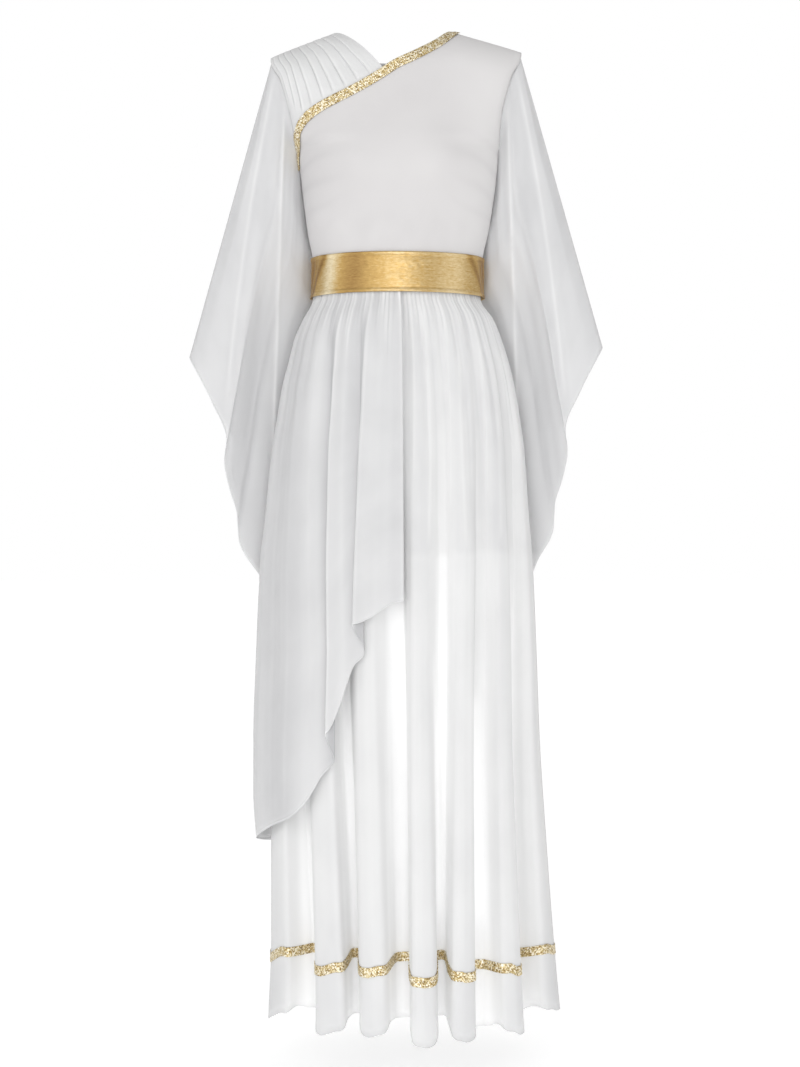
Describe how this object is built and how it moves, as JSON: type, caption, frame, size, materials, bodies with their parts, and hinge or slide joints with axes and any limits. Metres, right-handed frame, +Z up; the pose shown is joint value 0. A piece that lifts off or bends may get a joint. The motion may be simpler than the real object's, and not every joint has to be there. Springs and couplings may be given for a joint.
{
  "type": "roman toga costume",
  "caption": "Long white sleeveless gown filled out as worn, with a pleated one-shoulder yoke, diagonal gold braid, gold belt, gathered skirt, side overskirt and winged sleeves.",
  "frame": {"origin": "midway between the two shoulder seams, at their mean height, where the wearer's shoulders carry the dress", "axes": "+Z up, -Y to the front of the dress, +X to the wearer's left"},
  "size_m": [0.628, 0.3787, 1.4749],
  "materials": {
    "knit": "smooth white polyester knit",
    "yoke_chiffon": "pleated white chiffon",
    "skirt_chiffon": "gathered white chiffon",
    "sheer_chiffon": "sheer white chiffon",
    "braid": "woven gold metallic braid",
    "belt_foil": "gold foil on stretch cloth, soft sheen"
  },
  "bodies": {
    "root": {"bodice_front": "knit", "bodice_back": "knit", "shoulder_yoke": "yoke_chiffon", "neck_braid": "braid", "belt": "belt_foil", "skirt_front": "skirt_chiffon", "skirt_back": "skirt_chiffon", "hem_braid_front": "braid", "hem_braid_back": "braid", "skirt_lining": "knit", "overskirt": "sheer_chiffon", "sleeve_right": "sheer_chiffon", "sleeve_left": "sheer_chiffon"}
  },
  "joints": []
}
